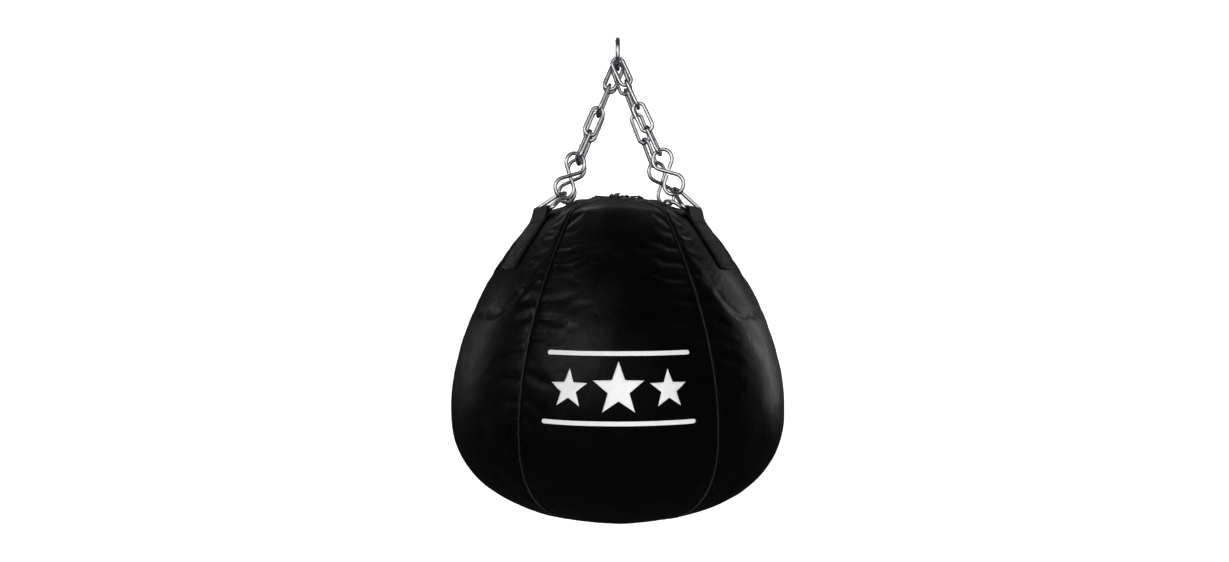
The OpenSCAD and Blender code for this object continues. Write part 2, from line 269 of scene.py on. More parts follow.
def stitch_line(heap, points, normals, pitch=4.2 * MM, gap=1.1 * MM):
    """Stitches along a polyline, each shorter than the pitch by the gap."""
    points, normals = np.asarray(points, float), np.asarray(normals, float)
    length = run_along(points)
    count = max(1, int(length[-1] / pitch))
    real = length[-1] / count
    for k in range(count):
        ends = [k * real + gap / 2, (k + 1) * real - gap / 2]
        at = [np.array([np.interp(e, length, points[:, c]) for c in range(3)]) for e in ends]
        nrm = np.array([np.interp(sum(ends) / 2, length, normals[:, c]) for c in range(3)])
        stitch(heap, at[0], at[1], unit(nrm))


# ---------- materials
def material(name):
    """A material with one principled shader, with its node tree and that shader."""
    mat = bpy.data.materials.new(name)
    mat.use_nodes = True
    tree = mat.node_tree
    tree.nodes.clear()
    out = tree.nodes.new("ShaderNodeOutputMaterial")
    shader = tree.nodes.new("ShaderNodeBsdfPrincipled")
    tree.links.new(shader.outputs[0], out.inputs[0])
    return mat, tree, shader


def node(tree, kind, **values):
    """A shader node; each value sets the input of that name, or else the node's own property."""
    item = tree.nodes.new("ShaderNode" + kind)
    for key, value in values.items():
        if key in item.inputs.keys():
            item.inputs[key].default_value = value
        else:
            setattr(item, key, value)
    return item


def wire(item, inputs):
    """Sets a node's inputs by name or number, each to a plain value or another node's output."""
    for key, value in inputs.items():
        if isinstance(value, bpy.types.NodeSocket):
            item.id_data.links.new(value, item.inputs[key])
        else:
            item.inputs[key].default_value = value


def texture_space(tree, scale=(1, 1, 1)):
    coords = node(tree, "TexCoord")
    mapping = node(tree, "Mapping")
    mapping.inputs["Scale"].default_value = scale
    tree.links.new(coords.outputs["Object"], mapping.inputs["Vector"])
    return mapping.outputs[0]


def noise(tree, space, scale, detail):
    item = node(tree, "TexNoise", Scale=scale, Detail=detail, Roughness=0.55)
    tree.links.new(space, item.inputs["Vector"])
    return item.outputs["Fac"]


def voronoi(tree, space, scale, feature="F1", out="Distance"):
    item = node(tree, "TexVoronoi", feature=feature, Scale=scale)
    tree.links.new(space, item.inputs["Vector"])
    return item.outputs[out]


def remap(tree, value, lo, hi, to_lo, to_hi):
    """A value from lo to hi brought to between to_lo and to_hi."""
    item = node(tree, "MapRange")
    wire(item, {"Value": value, "From Min": lo, "From Max": hi, "To Min": to_lo, "To Max": to_hi})
    return item.outputs["Result"]


def maths(tree, operation, *values):
    item = node(tree, "Math", operation=operation)
    wire(item, dict(enumerate(values)))
    return item.outputs[0]


def ramp(tree, value, stops):
    """A colour ramp; stops are (position, colour)."""
    item = node(tree, "ValToRGB")
    while len(item.color_ramp.elements) < len(stops):
        item.color_ramp.elements.new(0.5)
    for element, (at, colour) in zip(item.color_ramp.elements, stops):
        element.position = at
        element.color = (*colour, 1)
    tree.links.new(value, item.inputs["Fac"])
    return item.outputs["Color"]


def multiply(tree, colour, by, share):
    """A colour darkened by another one, by a share from 0 to 1."""
    item = node(tree, "Mix", data_type="RGBA", blend_type="MULTIPLY")
    wire(item, {0: share, MIX_A: colour, MIX_B: by})
    return item.outputs[MIX_RESULT]


def bump(tree, shader, layers):
    """Chains bump nodes; layers are (height, distance in metres, strength)."""
    last = None
    for height, distance, strength in layers:
        item = node(tree, "Bump", Distance=distance, Strength=strength)
        tree.links.new(height, item.inputs["Height"])
        if last is not None:
            tree.links.new(last, item.inputs["Normal"])
        last = item.outputs["Normal"]
    tree.links.new(last, shader.inputs["Normal"])


def leather_material(name, base, shine):
    """Grained leather: pores, fine cells, faint creases and softly mottled roughness."""
    mat, tree, shader = material(name)
    space = texture_space(tree)
    broad = noise(tree, space, 7.0, 3.0)
    blotch = noise(tree, space, 28.0, 5.0)
    pores = voronoi(tree, space, 620.0)
    cells = voronoi(tree, space, 330.0, "DISTANCE_TO_EDGE")
    fine = noise(tree, space, 900.0, 2.0)
    creases = voronoi(tree, texture_space(tree, (1, 1, 0.45)), 42.0, "DISTANCE_TO_EDGE")
    colour = ramp(tree, blotch, [(0.25, (base * 0.55,) * 3), (0.55, (base, base, base * 1.02)),
                                 (0.85, (base * 1.7, base * 1.68, base * 1.55))])
    wear = remap(tree, broad, 0.3, 0.75, -0.08, 0.16)
    patch = remap(tree, blotch, 0.3, 0.8, -0.07, 0.11)
    rough = maths(tree, "ADD", maths(tree, "ADD", wear, patch), shine)
    rough = maths(tree, "ADD", rough, remap(tree, cells, 0.0, 0.35, 0.08, -0.02))
    wire(shader, {"Base Color": colour, "Roughness": rough, "Specular IOR Level": 0.5,
                  "Coat Weight": 0.12, "Coat Roughness": 0.3})
    bump(tree, shader, [
        (noise(tree, texture_space(tree, (1, 1, 0.55)), 26.0, 3.0), 1.6 * MM, 0.35),
        (remap(tree, creases, 0.0, 0.12, 0.0, 1.0), 0.35 * MM, 0.3),
        (cells, 0.22 * MM, 0.55),
        (pores, 0.08 * MM, 0.5),
        (fine, 0.06 * MM, 0.5)])
    return mat


def webbing_material(name, base):
    """Twill webbing: ribs across and along the strap, from its own strip coordinates in metres."""
    mat, tree, shader = material(name)
    uv = node(tree, "UVMap", uv_map="strip").outputs["UV"]
    split = node(tree, "SeparateXYZ")
    tree.links.new(uv, split.inputs[0])
    across, along = split.outputs["X"], split.outputs["Y"]
    rib = maths(tree, "SINE", maths(tree, "MULTIPLY", across, 2 * math.pi / (1.9 * MM)))
    warp = maths(tree, "SINE", maths(tree, "MULTIPLY", along, 2 * math.pi / (1.5 * MM)))
    slant = maths(tree, "MULTIPLY", maths(tree, "ADD", along, across), 2 * math.pi / (3.0 * MM))
    lean = maths(tree, "SINE", slant)
    weave = maths(tree, "ADD", maths(tree, "MULTIPLY", rib, warp), maths(tree, "MULTIPLY", lean, 0.5))
    space = texture_space(tree)
    fuzz = noise(tree, space, 1400.0, 2.0)
    dust = noise(tree, space, 280.0, 4.0)
    tone = maths(tree, "ADD", remap(tree, weave, -1.5, 1.5, 0.0, 0.6), maths(tree, "MULTIPLY", dust, 0.4))
    colour = ramp(tree, tone, [(0.3, (base * 0.35,) * 3), (0.5, (base, base, base * 1.03)),
                               (0.75, (base * 2.6, base * 2.6, base * 2.4))])
    wire(shader, {"Base Color": colour, "Roughness": remap(tree, dust, 0.3, 0.7, 0.62, 0.8),
                  "Sheen Weight": 0.25, "Sheen Roughness": 0.45})
    bump(tree, shader, [(weave, 0.35 * MM, 0.9), (fuzz, 0.12 * MM, 0.5)])
    return mat


def thread_material(name, base):
    """Twisted thread or cord."""
    mat, tree, shader = material(name)
    space = texture_space(tree)
    twist = node(tree, "TexWave", bands_direction="DIAGONAL", Scale=700.0, Distortion=2.0)
    tree.links.new(space, twist.inputs["Vector"])
    tint = noise(tree, space, 300.0, 3.0)
    colour = ramp(tree, tint, [(0.3, (base * 0.6,) * 3), (0.75, (base * 1.5,) * 3)])
    wire(shader, {"Base Color": colour, "Roughness": remap(tree, tint, 0.3, 0.7, 0.45, 0.65)})
    bump(tree, shader, [(twist.outputs["Fac"], 0.12 * MM, 0.6)])
    return mat


def steel_material(name, tone, rough):
    """Zinc-plated steel: a faint blue-white film, dull spots, fine drawing marks, and painted shade that
    darkens the colour where the surface turns away from the view, at the wires' outlines and in dents.
    """
    mat, tree, shader = material(name)
    space = texture_space(tree)
    film = noise(tree, space, 45.0, 3.0)
    dull = noise(tree, space, 160.0, 5.0)
    facets = voronoi(tree, space, 360.0, "F1", "Color")
    grey = node(tree, "RGBToBW")
    tree.links.new(facets, grey.inputs[0])
    colour = ramp(tree, film, [(0.3, (tone * 0.86, tone * 0.9, tone * 0.97)),
                               (0.52, (tone, tone, tone * 1.02)),
                               (0.8, (tone * 1.04, tone * 1.02, tone * 0.97))])
    soot = ramp(tree, dull, [(0.28, (0.6, 0.61, 0.63)), (0.42, (1, 1, 1)), (1.0, (1, 1, 1))])
    # painted shade: the colour darkens as the surface turns away from the view, so the wires get dark
    # outlines from any side
    facing = node(tree, "LayerWeight", Blend=0.42).outputs["Facing"]
    edge = ramp(tree, facing, [(0.0, (1, 1, 1)), (0.35, (0.9, 0.91, 0.92)), (0.62, (0.24, 0.25, 0.28)),
                               (1.0, (0.04, 0.04, 0.05))])
    colour = multiply(tree, multiply(tree, colour, soot, 0.6), edge, 1.0)
    spangled = remap(tree, grey.outputs[0], 0, 1, -0.03, 0.05)
    wear = maths(tree, "ADD", remap(tree, dull, 0.3, 0.7, 0.1, -0.04), spangled)
    wire(shader, {"Base Color": colour, "Roughness": maths(tree, "ADD", wear, rough), "Metallic": 1.0})
    bump(tree, shader, [(noise(tree, space, 130.0, 3.0), 0.35 * MM, 0.14),
                        (noise(tree, space, 1100.0, 2.0), 0.03 * MM, 0.2)])
    return mat


def print_material():
    """White printed ink: slightly worn, thin enough for the grain and fine cracks to show."""
    mat, tree, shader = material("white_print")
    space = texture_space(tree)
    patches = noise(tree, space, 120.0, 5.0)
    cracks = voronoi(tree, space, 330.0, "DISTANCE_TO_EDGE")
    ink = ramp(tree, patches, [(0.2, (0.72, 0.72, 0.71)), (0.45, (0.86, 0.86, 0.85)), (0.9, (0.9,) * 3)])
    dark = ramp(tree, cracks, [(0.0, (0.82,) * 3), (0.04, (1,) * 3), (1.0, (1,) * 3)])
    wire(shader, {"Base Color": multiply(tree, ink, dark, 0.7),
                  "Roughness": remap(tree, patches, 0.3, 0.7, 0.5, 0.38)})
    bump(tree, shader, [(cracks, 0.12 * MM, 0.5), (noise(tree, space, 900.0, 2.0), 0.05 * MM, 0.4)])
    return mat


def cloth_material(name, base, scale=900.0):
    """Plain woven or matted fabric for the hidden layers."""
    mat, tree, shader = material(name)
    space = texture_space(tree)
    checks = node(tree, "TexChecker", Scale=scale)
    tree.links.new(space, checks.inputs["Vector"])
    tint = noise(tree, space, 40.0, 5.0)
    colour = ramp(tree, tint, [(0.3, tuple(0.75 * c for c in base)), (0.7, base)])
    wire(shader, {"Base Color": colour, "Roughness": remap(tree, tint, 0.3, 0.7, 0.8, 0.95)})
    bump(tree, shader, [(checks.outputs["Fac"], 0.2 * MM, 0.6),
                        (noise(tree, space, 300.0, 4.0), 0.5 * MM, 0.5)])
    return mat


LEATHER = leather_material("black_leather", 0.0030, 0.35)
# the welt's black leather is painted grey, far lighter than the panels, as a painted highlight along every
# seam
PAINTED_HIGHLIGHT_WELT = leather_material("welt_painted_highlight", 0.06, 0.3)
WEBBING = webbing_material("black_webbing", 0.016)
THREAD = thread_material("black_thread", 0.014)
CORD = thread_material("lace_cord", 0.022)
STEEL = steel_material("zinc_steel", 0.6, 0.26)
EYELET = steel_material("eyelet_metal", 0.68, 0.2)
INK = print_material()


# ---------- the filled leather cover
def cover_grid():
    """Points of the cover at rest, rows from the bottom up, columns all the way round."""
    theta = FRONT - SEAM_STEP / 2 + np.arange(6 * COLS) * SEAM_STEP / COLS
    rad = np.radians(theta)
    r, z = PROFILE[:, :1], PROFILE[:, 1:]
    points = np.stack([r * np.cos(rad), r * np.sin(rad), z + 0 * rad], -1)
    out, up = OUTWARD[:, :1], OUTWARD[:, 1:]
    normal = np.stack([out * np.cos(rad), out * np.sin(rad), up + 0 * rad], -1)
    across = (np.arange(6 * COLS) % COLS) / COLS
    return theta, points, normal, across


def bulge(height, fade_end, normal, across, hold):
    """A plain swelling between the seams, which fades out towards the bottom and under the straps."""
    return normal * (height * np.sin(math.pi * across)[None, :, None]
                     * smooth(0, fade_end, ARC)[:, None, None] * (1 - hold[..., None]))


def cloth_swell(points, normal, across, hold):
    """Fills the cover: seams and both ends are held, and the leather between them is blown out
    a little larger than it was cut, so that it swells and wrinkles towards the seams."""
    rows, cols = points.shape[:2]
    start = points + bulge(2.2 * MM, 0.09, normal, across, hold)
    obj = new_mesh("cover_for_cloth", start.reshape(-1, 3), grid_faces(rows - 1, cols, wrap=True))
    pins = obj.vertex_groups.new(name="held")
    held = hold.copy()
    held[:, ::COLS] = 1
    held[:2], held[-3:] = 1, 1
    for i, w in enumerate(held.ravel()):
        if w > 0.01:
            pins.add([i], float(w), "REPLACE")
    cloth = obj.modifiers.new("filling", "CLOTH")
    fabric = cloth.settings
    fabric.quality, fabric.mass = 6, 0.3
    fabric.tension_stiffness = fabric.compression_stiffness = 28
    fabric.shear_stiffness, fabric.bending_stiffness = 14, 1.1
    fabric.use_pressure, fabric.uniform_pressure_force = True, 4.0
    fabric.effector_weights.gravity = 0
    fabric.vertex_group_mass = "held"
    fabric.shrink_min = -0.012          # below zero, so the leather is larger than the bag
    cloth.collision_settings.use_collision = False
    scene = bpy.context.scene
    scene.frame_start, scene.frame_end = 1, CLOTH_FRAMES
    cloth.point_cache.frame_start, cloth.point_cache.frame_end = 1, CLOTH_FRAMES
    for f in range(1, CLOTH_FRAMES + 1):
        scene.frame_set(f)
    shape = obj.evaluated_get(bpy.context.evaluated_depsgraph_get()).to_mesh()
    flat = np.empty(len(shape.vertices) * 3)
    shape.vertices.foreach_get("co", flat)
    moved = flat.reshape(rows, cols, 3)
    scene.frame_set(1)
    bpy.data.objects.remove(obj, do_unlink=True)
    return moved - points


def capped(delta, normal, hold):
    """The swelling kept to the cap, which shrinks towards the bottom, where many seams meet."""
    out = np.sum(delta * normal, -1)
    along = delta - out[..., None] * normal
    cap = CAP_OUT * (0.15 + 0.85 * smooth(0.10, 0.32, ARC))[:, None]
    limit = cap * (1 - hold) + 0.1 * MM * hold
    swollen = limit * np.tanh(out / np.maximum(limit, 1e-6))
    out = np.where(out > 0, swollen, np.maximum(out, -CAP_IN * (1 - hold)))
    far = np.linalg.norm(along, axis=-1)
    along *= np.minimum(1, 4 * MM * (1 - hold) / np.maximum(far, 1e-9))[..., None]
    return out[..., None] * normal + along


def padded(values):
    """The values with one more at each end, carried on straight."""
    return np.concatenate([2 * values[:1] - values[1:2], values, 2 * values[-1:] - values[-2:-1]])


def catmull(p0, p1, p2, p3, t):
    """The Catmull-Rom curve from p1 at t = 0 to p2 at t = 1."""
    return 0.5 * (2 * p1 + (p2 - p0) * t + (2 * p0 - 5 * p1 + 4 * p2 - p3) * t ** 2
                  + (3 * p1 - p0 - 3 * p2 + p3) * t ** 3)


def refine(grid, times):
    """Catmull-Rom refinement of a grid of values along both directions."""
    def one(values, axis):
        values = np.moveaxis(values, axis, 0)
        pad = padded(values)
        parts = [catmull(pad[:-3], pad[1:-2], pad[2:-1], pad[3:], k / times) for k in range(times)]
        fine = np.stack(parts, 1).reshape((-1,) + values.shape[1:])
        return np.moveaxis(np.concatenate([fine, values[-1:]]), 0, axis)
    return one(one(grid, 0), 1)


theta, rest, rest_normal, across = cover_grid()
hold = strap_cover(theta[None, :] + 0 * rest[..., 0], rest[..., 2], np.hypot(rest[..., 0], rest[..., 1]))
swell = cloth_swell(rest, rest_normal, across, hold)
cover = rest + capped(swell, rest_normal, hold)


def crown(theta_deg, r):
    """The gathers round the laced opening: pleats that deepen inwards, and a raised lumpy neck."""
    a = np.radians(theta_deg)
    pleat = np.sin(19 * a + 1.3 * np.sin(3 * a + 0.7) + 0.4) + 0.5 * np.sin(31 * a + 2.0 * np.sin(2 * a))
    lump = 0.55 + 0.3 * np.sin(2 * a + 0.9) + 0.25 * np.sin(5 * a + 2.1)
    depth = 1.7 * MM * (1 - smooth(0.045, 0.115, r))
    front = (a - math.radians(FRONT - 5) + math.pi) % (2 * math.pi) - math.pi
    neck = bell(r - 0.037, 0.011) * (0.2 * MM + 0.9 * MM * lump + 3.4 * MM * bell(front, math.radians(24)))
    shoulder = 1.6 * MM * bell(r - 0.085, 0.02) * (0.5 + np.sin(7 * a + 1.0) * 0.5)
    return depth * (pleat + 0.6) * 0.6 + neck * (1 + 0.16 * pleat) + shoulder


def seam_pucker(arc, side_m, seed):
    """Small ripples that run away from a seam and die out: the seam's thread gathers the leather."""
    wave = ripple(arc * 260 + 0.8 * ripple(arc * 60, seed + 3), seed)
    patchy = 0.35 + 0.65 * smooth(-0.3, 0.7, ripple(arc * 17, seed + 8))
    return 0.75 * MM * wave * patchy * np.exp(-side_m / (15 * MM)) * smooth(0, 4 * MM, side_m)


# Dents and pulled places, each as (azimuth, height, width m, height m, depth m).
DENTS = [(-103, -0.345, 0.035, 0.055, 1.0 * MM), (-76, -0.330, 0.05, 0.04, 0.9 * MM),
         (-112, -0.46, 0.03, 0.08, 0.8 * MM), (-38, -0.41, 0.045, 0.10, 1.0 * MM),
         (-22, -0.52, 0.03, 0.12, 0.9 * MM), (-150, -0.45, 0.06, 0.08, 1.0 * MM),
         (40, -0.47, 0.06, 0.07, 1.0 * MM), (100, -0.5, 0.08, 0.05, 1.0 * MM),
         (160, -0.4, 0.05, 0.08, 1.0 * MM)]
# Creases, each as (azimuth and height of its two ends, depth m): thin folds pressed into the leather.
CREASES = [(-88, -0.352, -80, -0.338, 0.7 * MM), (-80, -0.338, -74, -0.337, 0.5 * MM),
           (-116, -0.446, -109, -0.437, 0.7 * MM), (-111, -0.470, -103, -0.452, 0.6 * MM),
           (-117, -0.418, -112, -0.408, 0.6 * MM), (-64, -0.49, -71, -0.478, 0.6 * MM),
           (-57, -0.43, -48, -0.415, 0.7 * MM), (-52, -0.50, -46, -0.52, 0.6 * MM),
           (-126, -0.50, -133, -0.485, 0.6 * MM), (-66, -0.600, -74, -0.607, 0.5 * MM),
           (55, -0.45, 47, -0.43, 0.7 * MM), (122, -0.47, 130, -0.455, 0.7 * MM),
           (170, -0.5, 163, -0.48, 0.6 * MM)]
PUCKER = (-120, -0.344)        # where the front left seam's thread is drawn tight, as azimuth and height


def pressed(ang, z, r):
    """Depth of the creases and of the star of folds round the drawn-up stitch."""
    depth = np.zeros_like(r)
    for a0, z0, a1, z1, deep in CREASES:
        x = round_to(ang, a0, r)
        run = np.stack([np.radians(a1 - a0) * r, (z1 - z0) + 0 * r])
        t = np.clip((x * run[0] + (z - z0) * run[1]) / np.sum(run ** 2, axis=0), 0, 1)
        off = np.hypot(x - t * run[0], z - z0 - t * run[1] - 1.5 * MM * np.sin(math.pi * t))
        groove = bell(off, 2.2 * MM) - 0.5 * bell(off, 6 * MM)
        depth += deep * np.sin(math.pi * np.clip(t, 0.08, 0.92)) * groove
    x, y = round_to(ang, PUCKER[0], r), z - PUCKER[1]
    away = np.hypot(x, y)
    fade = smooth(0, 5 * MM, away) * np.exp(-away / (11 * MM))
    return depth + 0.9 * MM * np.cos(7 * np.arctan2(y, x)) * fade


def panel_points(index):
    """One panel's fine grid and its normals: the cloth result, then gathers, puckers and soft dents."""
    cols = np.arange(index * COLS, (index + 1) * COLS + 1)
    grid = refine(cover[:, cols % (6 * COLS)], REFINE)
    rows, width = grid.shape[:2]
    ang = np.degrees(np.arctan2(grid[..., 1], grid[..., 0]))
    r = np.hypot(grid[..., 0], grid[..., 1])
    z = grid[..., 2]
    u = np.linspace(0, 1, width)[None, :]
    arc = np.interp(np.linspace(0, ROWS, rows), np.arange(ROWS + 1), ARC)[:, None] + 0 * r
    side_a, side_b = u * math.radians(SEAM_STEP) * r, (1 - u) * math.radians(SEAM_STEP) * r
    tip = smooth(0.02, 0.07, arc) * smooth(0.0, 0.03, arc[-1:] - arc)
    lift = (seam_pucker(arc, side_a, index + 0.3) + seam_pucker(arc, side_b, index + 1.3)) * tip
    lift -= 0.9 * MM * (bell(side_a, 2.6 * MM) + bell(side_b, 2.6 * MM))
    for az, dent_z, wide, tall, deep in DENTS:
        lift -= deep * bell(round_to(ang, az, r), wide) * bell(z - dent_z, tall)
    lift -= pressed(ang, z, r)
    fold = np.array([[mnoise.noise(Vector(p * 16.0)) + 0.5 * mnoise.noise(Vector(p * 37.0)) for p in row]
                     for row in grid[::2, ::2]])
    fold = refine(fold, 2)[:rows, :width]
    lift += 1.1 * MM * fold * smooth(0.0, 0.06, arc) * smooth(0, 10 * MM, np.minimum(side_a, side_b))
    free = 1 - strap_cover(ang, z, r)
    lift = lift * free
    lift = np.where(z > CROWN_BELOW, lift + crown(ang, r) * free, lift)
    normal = unit(np.cross(np.gradient(grid, axis=1), np.gradient(grid, axis=0)))
    return grid + normal * np.maximum(lift, -2.0 * MM)[..., None], normal


def build_panel(name, points, normals):
    """A panel's leather, with a short turned-in edge all round that shows its thickness."""
    rows, width = points.shape[:2]
    rim = outline(rows, width)
    edge = (points - normals * LEATHER_EDGE).reshape(-1, 3)[rim]
    base = rows * width
    faces = grid_faces(rows - 1, width - 1) + bridge(rim, range(base, base + len(rim)))
    piece = new_mesh("cover_panel_" + name, np.concatenate([points.reshape(-1, 3), edge]), faces)
    dress(piece, LEATHER, "panel_" + name)


PANEL_SKINS = {name: panel_points(i) for i, name in enumerate(PANELS)}     # points and normals
for name, (points, normals) in PANEL_SKINS.items():
    build_panel(name, points, normals)


# ---------- seams: welt piping and stitches
def beside_seam(points, normals, away):
    """Points and normals on a panel, a given way off the seam that runs up its first column."""
    steps = np.linalg.norm(np.diff(points, axis=1), axis=2)
    runs = np.concatenate([np.zeros((len(points), 1)), np.cumsum(steps, axis=1)], 1)
    return [np.array([[np.interp(min(away, run[-1]), run, row[:, c]) for c in range(3)]
                      for run, row in zip(runs, values)]) for values in (points, normals)]


def build_seams():
    """Welt piping along every seam, with a row of stitches down both sides of it."""
    welt, thread = Heap(), Heap()
    for i, name in enumerate(PANELS):
        right, right_normals = PANEL_SKINS[name]
        left, left_normals = (values[:, ::-1] for values in PANEL_SKINS[PANELS[i - 1]])
        line = 0.5 * (right[:, 0] + left[:, 0])
        out = unit(right_normals[:, 0] + left_normals[:, 0])
        steps = np.arange(len(line))
        piped = (steps > 8) & (steps < len(line) - 2)
        across = np.cross(out, np.gradient(line, axis=0) / 3e-3)
        wobble = 0.25 * MM * ripple(steps * 0.21, i)[:, None] * across
        path = (line + out * 0.95 * MM + wobble)[piped]
        radius = WELT_RADIUS * (1 + 0.06 * ripple(steps[piped] * 0.5, i + 4))
        welt.add(*tube(path, radius, normals=out[piped]))
        sewn = (steps > 16) & (steps < len(line) - 12)
        for points, normals in ((right, right_normals), (left, left_normals)):
            at, facing = beside_seam(points[:, :12], normals[:, :12], SEAM_TO_STITCH)
            stitch_line(thread, at[sewn], facing[sewn])
    # the piping takes the grey leather that paints a highlight line along each seam
    dress(welt.mesh("seam_welt"), PAINTED_HIGHLIGHT_WELT, "seam_piping")
    dress(thread.mesh("seam_stitches"), THREAD)


build_seams()


def cover_tree():
    """A ray-cast tree over the finished cover, for everything that lies on it."""
    verts, faces = [], []
    for points, _ in PANEL_SKINS.values():
        faces.extend(grid_faces(points.shape[0] - 1, points.shape[1] - 1, start=len(verts)))
        verts.extend(map(tuple, points.reshape(-1, 3)))
    return BVHTree.FromPolygons(verts, faces)


COVER_TREE = cover_tree()


def on_cover(point, direction, reach):
    """Where a ray meets the finished cover, and the outward normal there."""
    hit, nrm, _, _ = COVER_TREE.ray_cast(Vector(point), Vector(direction), reach)
    if hit is None:
        return None, None
    if nrm.dot(Vector(direction)) > 0:
        nrm = -nrm
    return np.array(hit), np.array(nrm)


# ---------- folded webbing straps
def profile_at(s):
    """The cover's curve at distance s from the bottom tip: radius and height, and its outward normal."""
    at, out = (np.array([np.interp(s, ARC, values[:, c]) for c in range(2)]) for values in (PROFILE, OUTWARD))
    return at, unit(out)


def strap_path(bar):
    """The webbing's middle line in the (radius, height) plane: up the cover, round the D-ring's bar
    and down again. The second value is how closely it follows the cover's roundness, from 1 to 0."""
    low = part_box("strap_front_left")[0][2]
    s_low = float(np.interp(low + 1.2 * MM, PROFILE[WIDEST:, 1], ARC[WIDEST:]))
    s_top = float(np.interp(bar[1] - 13 * MM, PROFILE[WIDEST:, 1], ARC[WIDEST:]))
    inner, outer = [], []
    for s in np.linspace(s_low, s_top, PLY_STEPS):
        at, out = profile_at(s)
        inner.append(at + out * (0.25 * MM + STRAP_PLY / 2))
        outer.append(at + out * (0.45 * MM + STRAP_PLY * 1.5))
    round_r = 3.25 * MM + STRAP_PLY / 2
    heading = inner[-1] - inner[-2]
    first = math.atan2(heading[1], heading[0]) - math.pi / 2
    around = [bar + round_r * np.array([math.cos(a), math.sin(a)])
              for a in np.linspace(first + math.pi + 0.25, first - 0.35, TURN_STEPS)]
    path = np.array(inner + around + outer[::-1])
    close = [1.0] * (PLY_STEPS - EASE_STEPS)
    letting_go = list(np.linspace(1, 0, EASE_STEPS))
    closeness = np.array(close + letting_go + [0.0] * TURN_STEPS + letting_go[::-1] + close)
    edge = PLY_STEPS - 10
    eased = slice(edge, -edge)
    turned = slice(PLY_STEPS, PLY_STEPS + TURN_STEPS)
    for _ in range(6):         # eases the run between the cover and the bar
        path[eased] = 0.25 * path[edge - 1:-edge - 1] + 0.5 * path[eased] + 0.25 * path[edge + 1:1 - edge]
        ring = path[turned] - bar
        size = np.linalg.norm(ring, axis=1)
        path[turned] = bar + ring * (np.maximum(size, round_r) / size)[:, None]
    return path, closeness


class Strap:
    """One folded strap's middle line, and the directions that it lies along."""

    def __init__(self, corner):
        x, y, z = D_RING_BARS[corner]
        self.out = np.array([x, y, 0]) / math.hypot(x, y)
        self.side = np.array([-self.out[1], self.out[0], 0])
        self.path, self.closeness = strap_path(np.array([math.hypot(x, y), z]))
        tan = unit(np.gradient(self.path, axis=0))
        self.normal = np.stack([tan[:, 1], -tan[:, 0]], 1)
        self.run = run_along(self.path)

    def along(self, run):
        """The middle line's points and normals at distances along it, as radius and height."""
        return [np.stack([np.interp(run, self.run, values[:, c]) for c in range(2)], 1)
                for values in (self.path, self.normal)]

    def place(self, out, across, up):
        """Points in space, from how far out, across the strap and up they are."""
        return out[:, None] * self.out + across[:, None] * self.side + up[:, None] * np.array([0, 0, 1.0])

    def outer_face(self, x, s):
        """Points and normals on the outer ply, x across it and s up from its lower end."""
        point, normal = self.along(self.run[-1] - s)
        sign = 1.0 if normal[0, 0] > 0 else -1.0
        lift = sign * STRAP_PLY / 2
        flat = np.sqrt(point[:, 0] ** 2 - x * x)
        lean = np.arcsin(np.clip(x / point[:, 0], -1, 1))
        facing = self.place(normal[:, 0] * np.cos(lean), normal[:, 0] * np.sin(lean), normal[:, 1])
        return self.place(flat + lift * normal[:, 0], x, point[:, 1] + lift * normal[:, 1]), sign * facing


def build_webbing(corner, strap):
    """The webbing itself: an upper and a lower sheet of lengthwise lines, joined at every edge."""
    upper, lower, uvs = [], [], []
    total = strap.run[-1]
    for x in STRAP_HALF * np.sin(np.linspace(-math.pi / 2, math.pi / 2, STRAP_LINES)):
        cut = END_ROUND - math.sqrt(END_ROUND ** 2 - x * x)      # the curved end is shorter at the edges
        run = cut + (total - 2 * cut) * strap.run / total
        point, normal = strap.along(run)
        close = np.interp(run, strap.run, strap.closeness)
        flat = np.sqrt(point[:, 0] ** 2 - close * x * x)
        half = STRAP_PLY / 2 * (0.35 + 0.65 * math.sqrt(max(0.0, 1 - (abs(x) / STRAP_HALF) ** 14)))
        sway = x + 0.25 * MM * np.sin(run * 310)
        for sheet, lift in ((upper, half), (lower, -half)):
            sheet.append(strap.place(flat + lift * normal[:, 0], sway, point[:, 1] + lift * normal[:, 1]))
        uvs.append(np.stack([0 * run + x + STRAP_HALF, run], 1))
    n = len(strap.path)
    rim = outline(STRAP_LINES, n)
    below = STRAP_LINES * n
    faces = grid_faces(STRAP_LINES - 1, n - 1) + grid_faces(STRAP_LINES - 1, n - 1, start=below)
    faces += bridge(rim, [i + below for i in rim])
    verts = np.concatenate([np.array(sheet).reshape(-1, 3) for sheet in (upper, lower)])
    uv = np.concatenate([np.array(uvs).reshape(-1, 2)] * 2)
    piece = new_mesh("webbing_strap_" + corner, verts, faces, uvs=uv)
    face_outward(piece)
    dress(piece, WEBBING, "strap_" + corner)


def build_strap_stitches(corner, strap):
    """Box and cross stitching on the outer ply, and a bar of stitches under the D-ring."""
    heap = Heap()
    wide = STRAP_HALF - 3.2 * MM
    low, middle, bar, high = 9 * MM, 47 * MM, 81 * MM, 84 * MM
    lines = (((-wide, low), (-wide, high)), ((wide, low), (wide, high)), ((-wide, high), (wide, high)),
             ((-wide, low), (wide, low)), ((-wide, middle), (wide, middle)), ((-wide, low), (wide, middle)),
             ((wide, low), (-wide, middle)), ((-wide, bar), (wide, bar)))
    t = np.linspace(0, 1, 24)
    for (xa, sa), (xb, sb) in lines:
        dip = 4.0 * MM if sa == sb == low else 0
        at, facing = strap.outer_face(xa + (xb - xa) * t, sa + (sb - sa) * t - dip * np.sin(math.pi * t))
        stitch_line(heap, at, facing, pitch=3.6 * MM, gap=0.9 * MM)
    dress(heap.mesh("strap_stitches_" + corner), THREAD)


